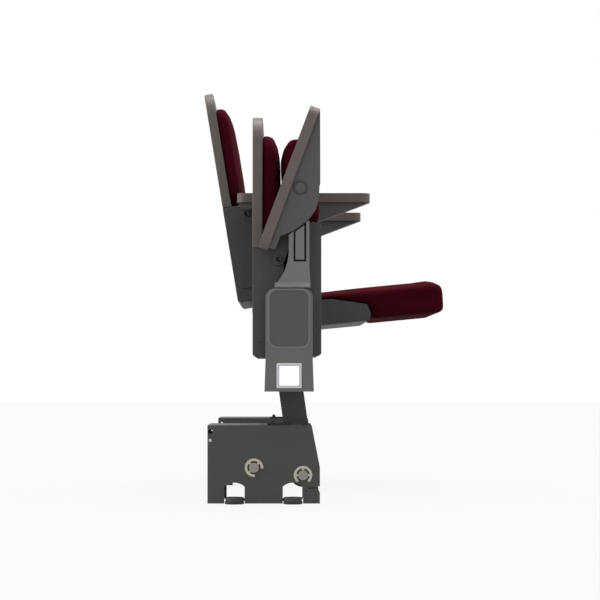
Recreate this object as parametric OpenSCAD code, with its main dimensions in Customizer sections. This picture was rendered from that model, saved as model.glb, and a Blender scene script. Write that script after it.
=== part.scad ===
// Two-place folding auditorium seat row.
// Near place: seat tipped up, back lowered. Far place: seat down, back raised and reclined.
// X points to the front, Y along the row, Z up. The origin lies on the deck, midway along the row
// and midway between the front and rear deck bolts.

/* [Row] */
// Distance between neighbouring standards
seat_pitch = 550; // [520:1:620]
// Fore and aft place of the standards
stand_x = 51; // [49:0.5:53]
// Width of the cross beam
beam_w = 80; // [60:1:86]
// Height of the cross beam
beam_h = 50; // [40:1:54]
// Wall of the cross beam
beam_wall = 4; // [2.5:0.5:6]
// Height of the top of the cross beam above the deck
beam_top = 286; // [280:1:289]

/* [Base] */
// Distance of each base from the middle of the row
base_y = 345; // [320:1:370]
// Length of a base, rear to front at the deck
base_l = 227; // [222:1:240]
// Width of a base
base_w = 180; // [150:1:190]
// Height of a base
base_h = 159; // [155:1:167]
// Thickness of the base plates
base_t = 4; // [3:0.5:5]
// Fore and aft distance of the deck bolts
deck_span = 118; // [112:1:124]
// Diameter of a deck bolt hole
deck_hole_d = 11; // [8:0.5:13]
// Diameter of a foot pad
pad_d = 39; // [34:0.5:40]
// Diameter of both base shafts
shaft_d = 20; // [16:0.5:22]
// Fore and aft place of the fold shaft
fold_x = 79.4; // [76:0.2:82]
// Height of the fold shaft
fold_z = 58.4; // [56:0.2:62]
// Fore and aft place of the lock shaft
lock_x = -19.5; // [-24:0.5:-16]
// Height of the lock shaft
lock_z = 73.5; // [70:0.5:78]

/* [Leg] */
// Fore and aft width of a leg
leg_w = 50; // [44:1:54]
// Width of a leg along the row
leg_d = 60; // [50:1:64]
// Wall of a leg
leg_wall = 4; // [3:0.5:6]
// Distance of the lock pin from the fold shaft, along the leg
lock_pin_up = 60; // [56:1:64]
// Diameter of the lock pin
lock_pin_d = 16; // [12:0.5:18]
// Angle that the lock hook is lifted by
lock_lift = 12; // [10:0.5:14]

/* [Standard] */
// Width of the side panel
panel_w = 92; // [90:0.5:98]
// Thickness of the whole standard at its panels
panel_d = 50; // [46:0.5:54]
// Height of the lower edge of the end panels
panel_z = 228; // [222:1:232]
// Height of the upper edge of the panels
panel_top = 429; // [424:1:432]
// Wall of a panel
panel_wall = 4; // [3:0.25:5]
// Radius of the upper corners of a panel
panel_r = 17.5; // [12:0.5:20]
// Thickness of the neck
neck_d = 40; // [38:0.5:42]
// Fore and aft width of the neck
neck_w = 40.4; // [38:0.2:44]
// Side of the square row light
light_w = 50; // [44:1:54]

/* [Armrest] */
// Height of the armrest pivot
arm_z = 626; // [620:1:638]
// Length of the armrest pad
arm_l = 295; // [280:1:310]
// Width of the armrest pad
arm_w = 55; // [50:0.5:56]
// Thickness of the armrest pad
arm_t = 20; // [14:0.5:24]
// Angle that a lifted armrest is turned by
arm_lift = 69.5; // [60:0.5:70]
// Diameter of the armrest pivot pin
arm_pin_d = 12; // [8:0.5:14]

/* [Folding seat] */
// Fore and aft place of the seat pivot
seat_x = 77; // [75:0.5:79]
// Height of the seat pivot
seat_z = 405.5; // [402:0.5:408]
// Angle between the stowed seat and the seat in use
seat_turn = 84.5; // [82:0.5:86]
// Thickness of the seat
seat_t = 69; // [66:0.5:74]
// Distance of the seat's front edge from its pivot
seat_front = 326; // [310:1:350]
// Distance of the seat's rear edge from its pivot
seat_tail = 107; // [102:0.5:109]
// Crown of the seat cushion
seat_crown = 9; // [3:0.5:9.5]
// Diameter of the seat pivot pins
seat_pin_d = 12; // [8:0.5:13]

/* [Moving back] */
// Length of the links that carry the back
link_l = 114.8; // [113:0.2:117]
// Lean of the links with the seat stowed
link_lean = 20.2; // [19:0.2:21]
// Angle that the links turn by
link_turn = 82; // [80:0.5:83]
// Rearward tilt of the back in use
back_tilt = 9.3; // [8.8:0.1:9.8]
// Thickness of a link
link_t = 4; // [3:0.25:5]
// Diameter of the pins of the linkage
link_pin_d = 10; // [8:0.5:12]
// Height of the padded upper back
back_h = 264; // [245:1:305]
// Height of the back's lower cover
back_low_h = 216; // [205:1:217]
// Depth of the back's lower cover with its pad
back_d = 55.4; // [50:0.2:55.6]
// Thickness of the back shell
shell_t = 20; // [14:0.5:22]
// Radius of the upper corners of the back shell
shell_r = 50; // [30:1:70]
// Crown of the back cushion
back_crown = 9; // [4:0.5:10]

/* [Hidden] */
$fn = 64;

// Running clearance of a pin in its bore, on the radius
run_fit = 0.05;
// Gap between neighbouring pieces that only lie against each other
seat_gap = 0.3;
// Overrun of a cut past the surface that it opens
over = 2;

// Layers beside a standard, measured from its middle plane towards the seat
half_pitch = seat_pitch / 2;
panel_half = panel_d / 2;
link_room = 5.5;
link_play = 1.5;
bracket_t = 4;
link_y = panel_half + link_room;
bracket_y = link_y + link_t + link_play;
seat_side = bracket_y + bracket_t;
seat_half = half_pitch - seat_side;

// Base
base_rear = -base_l / 2;
base_half = base_w / 2;
base_nose = 16.5;
base_slope_z = 74;
base_low_z = 33;
plate_lift = 1;
pad_h = 6;
floor_t = 4;
washer_h = 4;
ear_d = 36;
sole_w = 24;
floor_in = 3.5;
notch_w = 41;
notch_z = 43;
notch_rise = 8;
slit_h = 5;
slit_l = 22;
slit_mouth = 4.5;
mouth_drop = 10.3;
peg_hole_d = 4;
peg_in = 27.3;
peg_drop = 6.4;
cover_t = 3;
cover_front = 7;
cover_gap = 0.3;
lip_h = 36;
flange_l = 13;
flange_h = 39;
vent_d = 9;
vent_in = 6;
vent_drop = 12.5;
vent_z = base_h - vent_drop;
screw_d = 5;
screw_head_d = 6.5;
screw_head_h = 1.6;
screw_in = 5.5;
screw_drop = 30.5;
screw_z = base_h - screw_drop;
tab_x = 64.3;
tab_r = 12.3;
tab_rise = 20;
clip_d = 37.6;
clip_band = 5.4;
clip_t = 1.75;
clip_tab = 4.5;
clip_step = 90;
clip_open = 76;
groove_d = 19;
shaft_end = 4.5;

// Leg and lock hook
beam_mid = beam_top - beam_h / 2;
leg_lean = atan((fold_x - stand_x) / (beam_mid - fold_z));
leg_l = (beam_top - beam_h - fold_z) / cos(leg_lean);
eye_more = 2;
eye_proud = 1;
eye_half = leg_d / 2 + eye_proud;
bush_wall = 2.5;
bush_flange = 4;
bush_flange_t = 2;
bush_l = 18;
foot_top_t = 6;
foot_top_w = 70;
hook_y = 34;
hook_t = 6;
hook_w = 18;
hook_head = 15.5;
hook_nose = 16;
hook_tip = 5;
hook_play = 0.6;
hub_r = 16;
hub_tube_r = 14;
lock_pin_x = fold_x - lock_pin_up * sin(leg_lean);
lock_pin_z = fold_z + lock_pin_up * cos(leg_lean);
hook_l = norm([lock_pin_x - lock_x, lock_pin_z - lock_z]);
hook_rise = atan((lock_pin_z - lock_z) / (lock_pin_x - lock_x));
finger_x = 17;
finger_w = 7;
finger_in = 1;
finger_low = 104;
finger_top = 163;
knob_r = 4;

// Standard
foot_t = 6;
foot_half = 20;
foot_w = beam_w;
web_half = 6;
web_x = stand_x - 17;
web_w = 50;
bolt_d = 8;
bolt_head_d = 13;
bolt_head_h = 5.5;
bolt_x = 31;
bolt_y = 13.2;
collar_gap = 2;
collar_flat = 2;
collar_rise = 8;
neck_x = stand_x - 0.7;
neck_flare_r = 99;
neck_rear_drop = 92;
neck_front_drop = 64;
neck_top_rear = arm_z - neck_rear_drop;
neck_top_front = arm_z - neck_front_drop;
neck_flare_drop = 30;
neck_flare_z = neck_top_rear - neck_flare_drop;
neck_front_flare = 3;
neck_front_z = 470;
neck_foot_x = 21.4;
neck_half = neck_d / 2;
tongue_d = 30;
tongue_r = 12.5;
tongue_half = 16;
tongue_shoulder = 10;
pivot_boss_r = 12;
arm_x = stand_x + 22;
groove_x = stand_x + 8.5;
groove_w = 25;
groove_drop = 52;
groove_z = neck_top_rear - groove_drop;
groove_deep = 6;
groove_room = 9;
insert_w = 17.6;
insert_t = 4;
flare_w = 2.3;
flare_h = 66;
plate_in = 8;
plate_top_in = 3.7;
plate_h = 110;
plate_r = 15;
plate_deep = 2;
plate_t = 1.2;
light_z = 259;
light_rim = 6;
light_deep = 4.6;
light_proud = 1;
light_set = 2;
beam_end = 19.5;
web_slot = 1;

// Hanger, linkage and seat frame
hanger_t = 4.5;
hanger_w = 36;
hanger_h = 88;
hanger_low = neck_top_rear - hanger_h;
hanger_r = 12;
boss_r = 11;
boss_gap = 0.3;
link_x = stand_x + 19;
link_z = 597;
link_r = 12;
pin_head_r = 9;
pin_head_t = 2.8;
pin_x = link_x - link_l * sin(link_lean);
pin_z = link_z - link_l * cos(link_lean);
arm_plate_l = 104.6;
arm_plate_lean = 29.42;
low_x = seat_x - arm_plate_l * sin(arm_plate_lean);
low_z = seat_z - arm_plate_l * cos(arm_plate_lean);
arm_plate_hub = 17;
arm_plate_r = 12;
stud_gap = 0.4;
slot_travel = 5.6;
slot_lean = 6.5;
slot_play = 1;
slot_relief = 0.3;
bracket_in = 12;
bracket_neck = 10.5;
bracket_low = 12;
bracket_h = 140;
tube_d = 19;
strap_w = 30;
strap_t = 6;
strap_y = 150;
strap_h = 132;
strap_foot = 8;

// Seat, in its stowed place
seat_in = 1;
seat_pad_half = seat_half - seat_in;
seat_face = 31;
seat_face_x = seat_x - seat_face;
seat_under_x = seat_face_x + seat_t;
cushion_tail = 60.5;
cushion_thin = 12;
thin_z = 72.5;
step_z = 151.5;
step_t = 31;
nose_z = 158.5;
nose_t = 52;
cover_wall = 3;
strap_x = seat_under_x - cover_wall - seat_gap - strap_t;
cover_chamfer = 5;
cover_chamfer_h = 4;
cover_nose_r = 7;
cushion_set = 3.5;
tail_chamfer = 6;

// Back, in its lowered place
back_rear_in = 51.8;
back_rear_x = pin_x - back_rear_in;
back_split_up = 22.7;
back_split_z = pin_z + back_split_up;
back_front_x = back_rear_x + back_d;
lumbar_t = 7.7;
lumbar_crown = 3;
lumbar_side_in = 1;
lumbar_edge_t = lumbar_t - lumbar_crown - seat_gap;
low_wall = 3;
low_chamfer = 5;
skirt_h = 110;
skirt_t = 14;
cushion_t = 25;
cushion_top_in = 31;
cushion_side_in = 3;
cushion_round = 15;
cushion_tuck = 2;
round_r = 11;
draw_in = 3;

// Armrest, from its pivot along and across the pad
arm_half = arm_w / 2;
arm_rear = 136;
arm_under = 17.5;
arm_corner_r = 20;
house_half = 19.5;
house_wall = 4;
house_web = 3;
house_front = 157;
house_drop = 42.8;
cap_d = 27.4;
cap_t = 1.6;

grey_dark = [0.19, 0.19, 0.18];
grey_cover = [0.26, 0.26, 0.25];
grey_panel = [0.36, 0.36, 0.36];
grey_neck = [0.41, 0.41, 0.41];
taupe = [0.33, 0.30, 0.28];
burgundy = [0.26, 0.05, 0.10];
zinc = [0.52, 0.50, 0.46];
rubber_black = [0.10, 0.10, 0.10];
light_white = [0.95, 0.95, 0.97];

// Plate between two planes across the row, drawn in X and Z
module slab(y0, y1)
    translate([0, y1, 0]) rotate([90, 0, 0]) linear_extrude(y1 - y0) children();

// Plate between two planes across the depth, drawn in Y and Z
module slab_x(x0, x1)
    translate([x0, 0, 0]) rotate([90, 0, 90]) linear_extrude(x1 - x0) children();

// Round bar along the row
module bar(x, z, r, y0, y1)
    translate([x, y0, z]) rotate([-90, 0, 0]) cylinder(r = r, h = y1 - y0);

// Turn about an axis along the row, from up towards the front
module turned(x, z, a)
    translate([x, 0, z]) rotate([0, a, 0]) translate([-x, 0, -z]) children();

// Strip with round ends
module strip(x0, z0, r0, x1, z1, r1) {
    dir = [x1 - x0, z1 - z0] / norm([x1 - x0, z1 - z0]);
    side = [-dir[1], dir[0]];
    translate([x0, z0]) circle(r0);
    translate([x1, z1]) circle(r1);
    polygon([[x0, z0] + side * r0, [x1, z1] + side * r1, [x1, z1] - side * r1, [x0, z0] - side * r0]);
}

// Two round ends joined by a straight web narrower than they are
module waisted(x0, z0, r0, x1, z1, r1, half_w) {
    dir = [x1 - x0, z1 - z0] / norm([x1 - x0, z1 - z0]);
    side = [-dir[1], dir[0]] * half_w;
    translate([x0, z0]) circle(r0);
    translate([x1, z1]) circle(r1);
    polygon([[x0, z0] + side, [x1, z1] + side, [x1, z1] - side, [x0, z0] - side]);
}

// Rectangle from a corner, with its upper corners round
module top_round(x, z, w, h, r) {
    translate([x, z]) square([w, h - r]);
    translate([x + r, z]) square([w - 2 * r, h]);
    for (cx = [x + r, x + w - r]) translate([cx, z + h - r]) circle(r);
}

// Rectangle from a corner, with all its corners round
module all_round(x, z, w, h, r) {
    translate([x, z + r]) square([w, h - 2 * r]);
    translate([x + r, z]) square([w - 2 * r, h]);
    for (cx = [x + r, x + w - r], cz = [z + r, z + h - r]) translate([cx, cz]) circle(r);
}

module near_base() translate([0, -base_y, 0]) children();
module far_base() translate([0, base_y, 0]) children();
module both_bases() for (y = [-base_y, base_y]) translate([0, y, 0]) children();
module near_place() translate([0, -half_pitch, 0]) children();
module far_place() translate([0, half_pitch, 0]) children();
module both_sides() for (m = [0, 1]) mirror([0, m, 0]) children();

// Layer beside the standards of one place, on its positive side
module layer(d0, d1) slab(half_pitch - d1, half_pitch - d0) children();

// Base: folded plate box with notches over its feet
module notch_shape(x) {
    arch_r = (notch_w * notch_w / 4 + notch_rise * notch_rise) / (2 * notch_rise);
    intersection() {
        translate([x - notch_w / 2, -over]) square([notch_w, notch_z + 2 * over]);
        translate([x, notch_z - arch_r]) circle(arch_r);
    }
}

module side_outline() {
    difference() {
        polygon([[base_rear, plate_lift], [-base_rear, plate_lift], [-base_rear, base_slope_z],
            [-base_rear - base_nose, base_h], [base_rear, base_h]]);
        for (x = [-deck_span / 2, deck_span / 2]) notch_shape(x);
        translate([-base_rear - slit_l, base_low_z - slit_h / 2]) square([slit_l + over, slit_h]);
        translate([-base_rear - slit_l, base_low_z]) circle(slit_h / 2);
        translate([-base_rear - peg_in, base_low_z - peg_drop]) circle(peg_hole_d / 2);
        polygon([[-base_rear - slit_mouth, base_low_z], [-base_rear + over, base_low_z],
            [-base_rear + over, base_low_z - mouth_drop], [-base_rear, base_low_z - mouth_drop]]);
        translate([base_rear + vent_in, vent_z]) circle(vent_d / 2);
    }
}

// Folded pan with its outer side towards +Y: a floor strip between the notches, a sole with two
// ears along the outer side, and a half round tab bent up from the top of each side
module base_pan() color(grey_cover) difference() {
    floor_half = (deck_span - notch_w) / 2 - floor_in;
    ear_reach = (deck_span + ear_d) / 2;
    union() {
        both_sides() slab(base_half - base_t, base_half) side_outline();
        translate([-floor_half, -base_half + base_t, pad_h])
            cube([2 * floor_half, base_w - 2 * base_t, floor_t]);
        translate([-ear_reach, base_half - base_t - sole_w, pad_h]) cube([2 * ear_reach, sole_w, floor_t]);
        translate([base_rear, -base_half + base_t, pad_h])
            cube([base_t, base_w - 2 * base_t, base_h - lip_h - cover_gap - pad_h]);
        for (x = [-deck_span / 2, deck_span / 2])
            translate([x, base_half, pad_h]) cylinder(d = ear_d, h = floor_t);
        both_sides() translate([tab_x, base_half - base_t / 2, base_h - cover_t]) rotate([-tab_rise, 0, 0])
            linear_extrude(cover_t) difference() {
                circle(tab_r);
                translate([-tab_r - over, 0]) square([2 * (tab_r + over), tab_r + over]);
            }
    }
    for (x = [-deck_span / 2, deck_span / 2])
        translate([x, base_half, pad_h - over]) cylinder(d = deck_hole_d, h = floor_t + 2 * over);
    bar(fold_x, fold_z, shaft_d / 2 + run_fit, -base_half - over, base_half + over);
    bar(lock_x, lock_z, shaft_d / 2 + run_fit, -base_half - over, base_half + over);
    bar(base_rear + screw_in, screw_z, screw_d / 2 + run_fit, -base_half - over, base_half + over);
}

// Base cover: bent sheet with a rear lip and two side flanges
module base_cover() color(grey_cover) difference() {
    in_half = base_half - base_t - cover_gap;
    union() {
        translate([base_rear, -in_half, base_h - cover_t])
            cube([cover_front - base_rear, 2 * in_half, cover_t]);
        translate([base_rear, -in_half, base_h - lip_h]) cube([cover_t, 2 * in_half, lip_h]);
        both_sides() translate([base_rear, in_half - cover_t, base_h - flange_h + cover_t])
            cube([flange_l, cover_t, flange_h - cover_t]);
    }
    bar(base_rear + screw_in, screw_z, screw_d / 2 + run_fit, -base_half, base_half);
    bar(base_rear + vent_in, vent_z, vent_d / 2, -base_half, base_half);
    translate([base_rear - over, -in_half - over, base_h - flange_h - over])
        cube([cover_t + over + cover_gap + base_t, 2 * (in_half + over), flange_h - lip_h + over]);
}

module cover_screws() color(zinc) both_bases() both_sides() {
    bar(base_rear + screw_in, screw_z, screw_d / 2, base_half - base_t - cover_t - cover_gap, base_half);
    bar(base_rear + screw_in, screw_z, screw_head_d / 2, base_half, base_half + screw_head_h);
}

// Shaft with a groove near each end for its clip
module base_shaft(x, z) color(zinc) difference() {
    end_y = base_half + seat_gap + clip_t + shaft_end;
    bar(x, z, shaft_d / 2, -end_y, end_y);
    both_sides() difference() {
        bar(x, z, shaft_d, base_half + seat_gap, base_half + seat_gap + clip_t);
        bar(x, z, groove_d / 2, base_half, base_half + seat_gap + clip_t + over);
    }
}

// E shaped retaining ring, open towards the given angle
module clip(x, z, a) {
    arm = clip_d;
    both_sides() translate([x, base_half + seat_gap + run_fit, z]) rotate([0, a, 0])
        slab(0, clip_t - 2 * run_fit) difference() {
            circle(clip_d / 2);
            difference() {
                circle(clip_d / 2 - clip_band);
                for (t = [0 : 2]) rotate(-clip_step * t)
                    translate([0, -clip_tab / 2]) square([clip_d / 2, clip_tab]);
            }
            circle(groove_d / 2 + run_fit);
            polygon([[0, 0], [arm * cos(90 - clip_open / 2), arm * sin(90 - clip_open / 2)],
                [0, arm * 2], [-arm * cos(90 - clip_open / 2), arm * sin(90 - clip_open / 2)]]);
        }
}

module shaft_clips() color(zinc) both_bases() {
    clip(fold_x, fold_z, 180);
    clip(lock_x, lock_z, 135);
}

// Places of the deck bolts, under the ears
module bolt_feet() for (x = [-deck_span / 2, deck_span / 2], y = [-base_y - base_half, base_y + base_half])
    translate([x, y, 0]) children();

module ring(z, h) translate([0, 0, z]) difference() {
    cylinder(d = pad_d, h = h);
    translate([0, 0, -over]) cylinder(d = deck_hole_d, h = h + 2 * over);
}

module deck_pads() color(rubber_black) bolt_feet() ring(0, pad_h);

module deck_washers() color(grey_dark) bolt_feet() ring(pad_h + floor_t, washer_h);

// Lock hook: two plates on a hub, lifted clear of the lock pin
module hook_shape() {
    strip(0, 0, hub_r, hook_l - hook_nose, 0, hook_w / 2);
    translate([hook_l - hook_nose, -hook_tip]) square([2 * hook_nose, hook_head + hook_tip]);
}

module lock_hook() color(grey_dark) difference() {
    union() {
        bar(lock_x, lock_z, hub_tube_r, -hook_y - hook_t / 2, hook_y + hook_t / 2);
        translate([lock_x, 0, lock_z]) rotate([0, -hook_rise - lock_lift, 0])
            both_sides() slab(hook_y, hook_y + hook_t) difference() {
                hook_shape();
                translate([hook_l, 0]) circle(lock_pin_d / 2 + 2 * hook_play);
                translate([hook_l - lock_pin_d / 2 - hook_play, -hook_nose])
                    square([lock_pin_d + 2 * hook_play, hook_nose]);
            }
        slab(-hook_y - hook_t + finger_in, -hook_y - finger_in) {
            translate([finger_x - finger_w / 2, finger_low]) square([finger_w, finger_top - finger_low]);
            translate([finger_x, finger_top]) circle(knob_r);
        }
    }
    bar(lock_x, lock_z, shaft_d / 2 + run_fit, -base_half, base_half);
}

// Leg: box tube with a bushed eye, a lock pin and a flange under the beam
module leg() color(grey_dark) {
    bore_r = shaft_d / 2 + run_fit + bush_wall;
    difference() {
        union() {
            difference() {
                union() {
                    leg_box(leg_w, leg_d, 0);
                    translate([stand_x - foot_top_w / 2, -leg_d / 2 - foot_top_t,
                        beam_top - beam_h - foot_top_t])
                        cube([foot_top_w, leg_d + 2 * foot_top_t, foot_top_t]);
                }
                leg_box(leg_w - 2 * leg_wall, leg_d - 2 * leg_wall, over);
                translate([stand_x - seat_pitch / 2, -leg_d, beam_top - beam_h])
                    cube([seat_pitch, 2 * leg_d, beam_h + leg_w]);
            }
            bar(fold_x, fold_z, leg_w / 2 + eye_more, -eye_half, eye_half);
            bar(lock_pin_x, lock_pin_z, lock_pin_d / 2, -hook_y - hook_t - over, hook_y + hook_t + over);
        }
        bar(fold_x, fold_z, bore_r + run_fit, -leg_d, leg_d);
    }
}

module leg_box(w, d, low)
    translate([fold_x, 0, fold_z]) rotate([0, -leg_lean, 0])
        translate([-w / 2, -d / 2, -low]) cube([w, d, leg_l + leg_w + 2 * low]);

module leg_bushes() color(zinc) both_bases() both_sides() difference() {
    union() {
        bar(fold_x, fold_z, shaft_d / 2 + run_fit + bush_wall, eye_half - bush_l, eye_half);
        bar(fold_x, fold_z, shaft_d / 2 + run_fit + bush_wall + bush_flange,
            eye_half, eye_half + bush_flange_t);
    }
    bar(fold_x, fold_z, shaft_d / 2 + run_fit, eye_half - bush_l - over, leg_d);
}

module beam() color(grey_dark) difference() {
    end_y = seat_pitch + beam_end;
    translate([stand_x - beam_w / 2, -end_y, beam_top - beam_h]) cube([beam_w, 2 * end_y, beam_h]);
    translate([stand_x - beam_w / 2 + beam_wall, -end_y - over, beam_top - beam_h + beam_wall])
        cube([beam_w - 2 * beam_wall, 2 * (end_y + over), beam_h - 2 * beam_wall]);
    bolt_places() translate([0, 0, -beam_wall - over])
        cylinder(r = bolt_d / 2 + run_fit, h = beam_wall + 2 * over);
}

// Places of the bolts that hold the standards, on the top of the beam
module bolt_places() for (s = [-seat_pitch, 0, seat_pitch], x = [-bolt_x, bolt_x], y = [-bolt_y, bolt_y])
    translate([stand_x + x, s + y, beam_top]) children();

// Standard: foot plate and web inside the panel, collar, flared neck and a tongue for the armrest
module neck_outline() {
    collar_z = panel_top + collar_gap;
    difference() {
        polygon([[neck_foot_x, collar_z], [neck_x + neck_w + neck_front_flare, collar_z],
            [neck_x + neck_w, neck_front_z], [neck_x + neck_w, neck_top_front],
            [neck_x, neck_top_rear], [neck_x, neck_flare_z],
            [neck_foot_x, neck_flare_z]]);
        translate([neck_x - neck_flare_r, neck_flare_z]) circle(neck_flare_r, $fn = 128);
    }
}

module collar_outline() {
    collar_z = panel_top + collar_gap;
    polygon([[-panel_half, collar_z], [panel_half, collar_z], [panel_half, collar_z + collar_flat],
        [neck_half, collar_z + collar_flat + collar_rise], [-neck_half, collar_z + collar_flat + collar_rise],
        [-panel_half, collar_z + collar_flat]]);
}

module upright() color(grey_neck) difference() {
    union() {
        slab(-foot_half, foot_half) translate([stand_x - foot_w / 2, beam_top]) square([foot_w, foot_t]);
        slab(-web_half, web_half) translate([web_x, beam_top + foot_t])
            square([web_w, panel_top + collar_gap - beam_top - foot_t]);
        slab(-neck_half, neck_half) neck_outline();
        slab_x(neck_foot_x + collar_gap, neck_x + neck_w) collar_outline();
        bar(seat_x, seat_z, pivot_boss_r, -web_half, web_half);
        slab(-tongue_d / 2, tongue_d / 2) {
            translate([arm_x, arm_z]) circle(tongue_r);
            translate([arm_x - tongue_r, neck_top_rear]) square([2 * tongue_r, arm_z - neck_top_rear]);
            translate([arm_x - tongue_half, neck_flare_z])
                square([2 * tongue_half, arm_z - tongue_shoulder - neck_flare_z]);
        }
    }
    bar(arm_x, arm_z, arm_pin_d / 2 + run_fit, -panel_half, panel_half);
    bar(seat_x, seat_z, seat_pin_d / 2 + run_fit, -panel_half, panel_half);
    for (x = [stand_x - bolt_x, stand_x + bolt_x], y = [-bolt_y, bolt_y])
        translate([x, y, beam_top - over]) cylinder(d = bolt_d + 2 * run_fit, h = foot_t + 2 * over);
}

// End standard: the outer side of its neck has a groove for the insert
module end_upright() difference() {
    upright();
    color(grey_neck) translate([groove_x, -neck_half - over, groove_z])
        cube([groove_w, groove_deep + over, neck_top_front - groove_z + groove_room]);
}

// Height of the sloping top of the neck
function neck_top(x) = neck_top_rear + (neck_top_front - neck_top_rear) * (x - neck_x) / neck_w;

module neck_inserts() color(grey_neck) both_sides() {
    x0 = groove_x + (groove_w - insert_w) / 2;
    x1 = x0 + insert_w;
    z0 = groove_z + (groove_w - insert_w) / 2;
    slab(-seat_pitch - neck_half + groove_deep - insert_t, -seat_pitch - neck_half + groove_deep)
        polygon([[x0, z0], [x1, z0], [x1, neck_top(x1) - collar_gap], [x0, neck_top(x0) - collar_gap]]);
}

module upright_bolts() color(zinc) bolt_places() {
    translate([0, 0, -beam_wall]) cylinder(d = bolt_d, h = foot_t + beam_wall);
    translate([0, 0, foot_t]) cylinder(d = bolt_head_d, h = bolt_head_h);
}

// Panel: moulded shell around the foot of a standard
module panel_outline(inset, low) {
    w = panel_w - 2 * inset;
    top_round(stand_x - w / 2, low + inset, w, panel_top - low - 2 * inset, panel_r - inset);
    if (low == panel_z) polygon([[stand_x - w / 2, low + inset], [stand_x - w / 2, low + flare_h],
        [stand_x + w / 2, low + flare_h], [stand_x + w / 2, low + inset],
        [stand_x + w / 2 + flare_w, low + inset], [stand_x + w / 2, low + flare_h + inset],
        [stand_x - w / 2, low + flare_h + inset], [stand_x - w / 2 - flare_w, low + inset]]);
}

module panel_shell(low) difference() {
    slab(-panel_half, panel_half) panel_outline(0, low);
    slab(-panel_half + panel_wall, panel_half - panel_wall) panel_outline(panel_wall, low);
    translate([web_x - web_slot, -web_half - web_slot, panel_top - panel_wall - over])
        cube([web_w + 2 * web_slot, 2 * (web_half + web_slot), panel_wall + 2 * over]);
}

module end_panel() color(grey_panel) difference() {
    panel_shell(panel_z);
    bar(seat_x, seat_z, seat_pin_d / 2 + seat_gap, 0, panel_half + over);
    translate([stand_x - beam_w / 2 - seat_gap, 0, beam_top - beam_h - seat_gap])
        cube([beam_w + 2 * seat_gap, panel_half + over, beam_h + 2 * seat_gap]);
    slab(-panel_half - over, -panel_half + plate_deep) plate_outline(0);
    translate([stand_x - light_w / 2, -panel_half - over, light_z - light_w / 2])
        cube([light_w, panel_wall + 2 * over, light_w]);
}

module mid_panel() color(grey_panel) difference() {
    low = beam_top + seat_gap;
    panel_shell(low);
    bar(seat_x, seat_z, seat_pin_d / 2 + seat_gap, -panel_half - over, panel_half + over);
    translate([stand_x - panel_w / 2 + panel_wall, -panel_half + panel_wall, low - over])
        cube([panel_w - 2 * panel_wall, panel_d - 2 * panel_wall, panel_wall + 2 * over]);
}

module plate_outline(gap) {
    w = panel_w - 2 * plate_in - 2 * gap;
    all_round(stand_x - w / 2, panel_top - plate_top_in - plate_h + gap, w, plate_h - 2 * gap, plate_r - gap);
}

module panel_plates() color(grey_cover) both_sides()
    slab(-seat_pitch - panel_half + plate_deep - plate_t, -seat_pitch - panel_half + plate_deep)
        plate_outline(seat_gap);

// Row light: square frame with a lens, in each end panel
module light_frames() color(zinc) both_sides() difference() {
    w = light_w - 2 * seat_gap;
    translate([stand_x - w / 2, -seat_pitch - panel_half - light_proud, light_z - w / 2])
        cube([w, light_deep + light_proud, w]);
    translate([stand_x - w / 2 + light_rim, -seat_pitch - panel_half - light_proud - over,
        light_z - w / 2 + light_rim])
        cube([w - 2 * light_rim, light_deep + over, w - 2 * light_rim]);
}

module light_lenses() color(light_white) both_sides() {
    w = light_w - 2 * light_rim - 4 * seat_gap;
    translate([stand_x - w / 2, -seat_pitch - panel_half + light_set, light_z - w / 2])
        cube([w, light_deep - light_proud - light_set, w]);
}

// Hangers carry the upper ends of the links beside each standard
module hanger() {
    slab(neck_half, neck_half + hanger_t) {
        translate([link_x - hanger_w / 2, hanger_low]) square([hanger_w, neck_top_rear - hanger_low]);
        strip(link_x, neck_top_rear - hanger_w / 2, hanger_w / 2, link_x, link_z, hanger_r);
    }
    difference() {
        bar(link_x, link_z, boss_r, neck_half + hanger_t, link_y - boss_gap);
        bar(link_x, link_z, link_pin_d / 2 + run_fit, neck_half, link_y);
    }
}

module link_hangers() color(grey_dark) difference() {
    union() {
        translate([0, -seat_pitch, 0]) hanger();
        both_sides() hanger();
        mirror([0, 1, 0]) translate([0, -seat_pitch, 0]) hanger();
    }
    bar(link_x, link_z, link_pin_d / 2 + run_fit, -seat_pitch - panel_half, seat_pitch + panel_half);
}

module link_pin() {
    bar(link_x, link_z, link_pin_d / 2, neck_half, link_y + link_t + boss_gap);
    bar(link_x, link_z, pin_head_r, link_y + link_t + boss_gap, link_y + link_t + boss_gap + pin_head_t);
}

module link_pins() color(zinc) {
    translate([0, -seat_pitch, 0]) link_pin();
    both_sides() link_pin();
    mirror([0, 1, 0]) translate([0, -seat_pitch, 0]) link_pin();
}

module seat_pins() color(zinc) {
    reach = seat_side + strap_w;
    bar(seat_x, seat_z, seat_pin_d / 2, -seat_pitch - web_half, -seat_pitch + reach);
    bar(seat_x, seat_z, seat_pin_d / 2, -reach, reach);
    bar(seat_x, seat_z, seat_pin_d / 2, seat_pitch - reach, seat_pitch + web_half);
}

module arm_pins() color(grey_dark) for (s = [-seat_pitch, 0, seat_pitch]) translate([0, s, 0]) {
    bar(arm_x, arm_z, arm_pin_d / 2, -house_half - seat_gap, house_half + seat_gap);
    both_sides() bar(arm_x, arm_z, cap_d / 2, house_half + seat_gap, house_half + seat_gap + cap_t);
}

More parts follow.
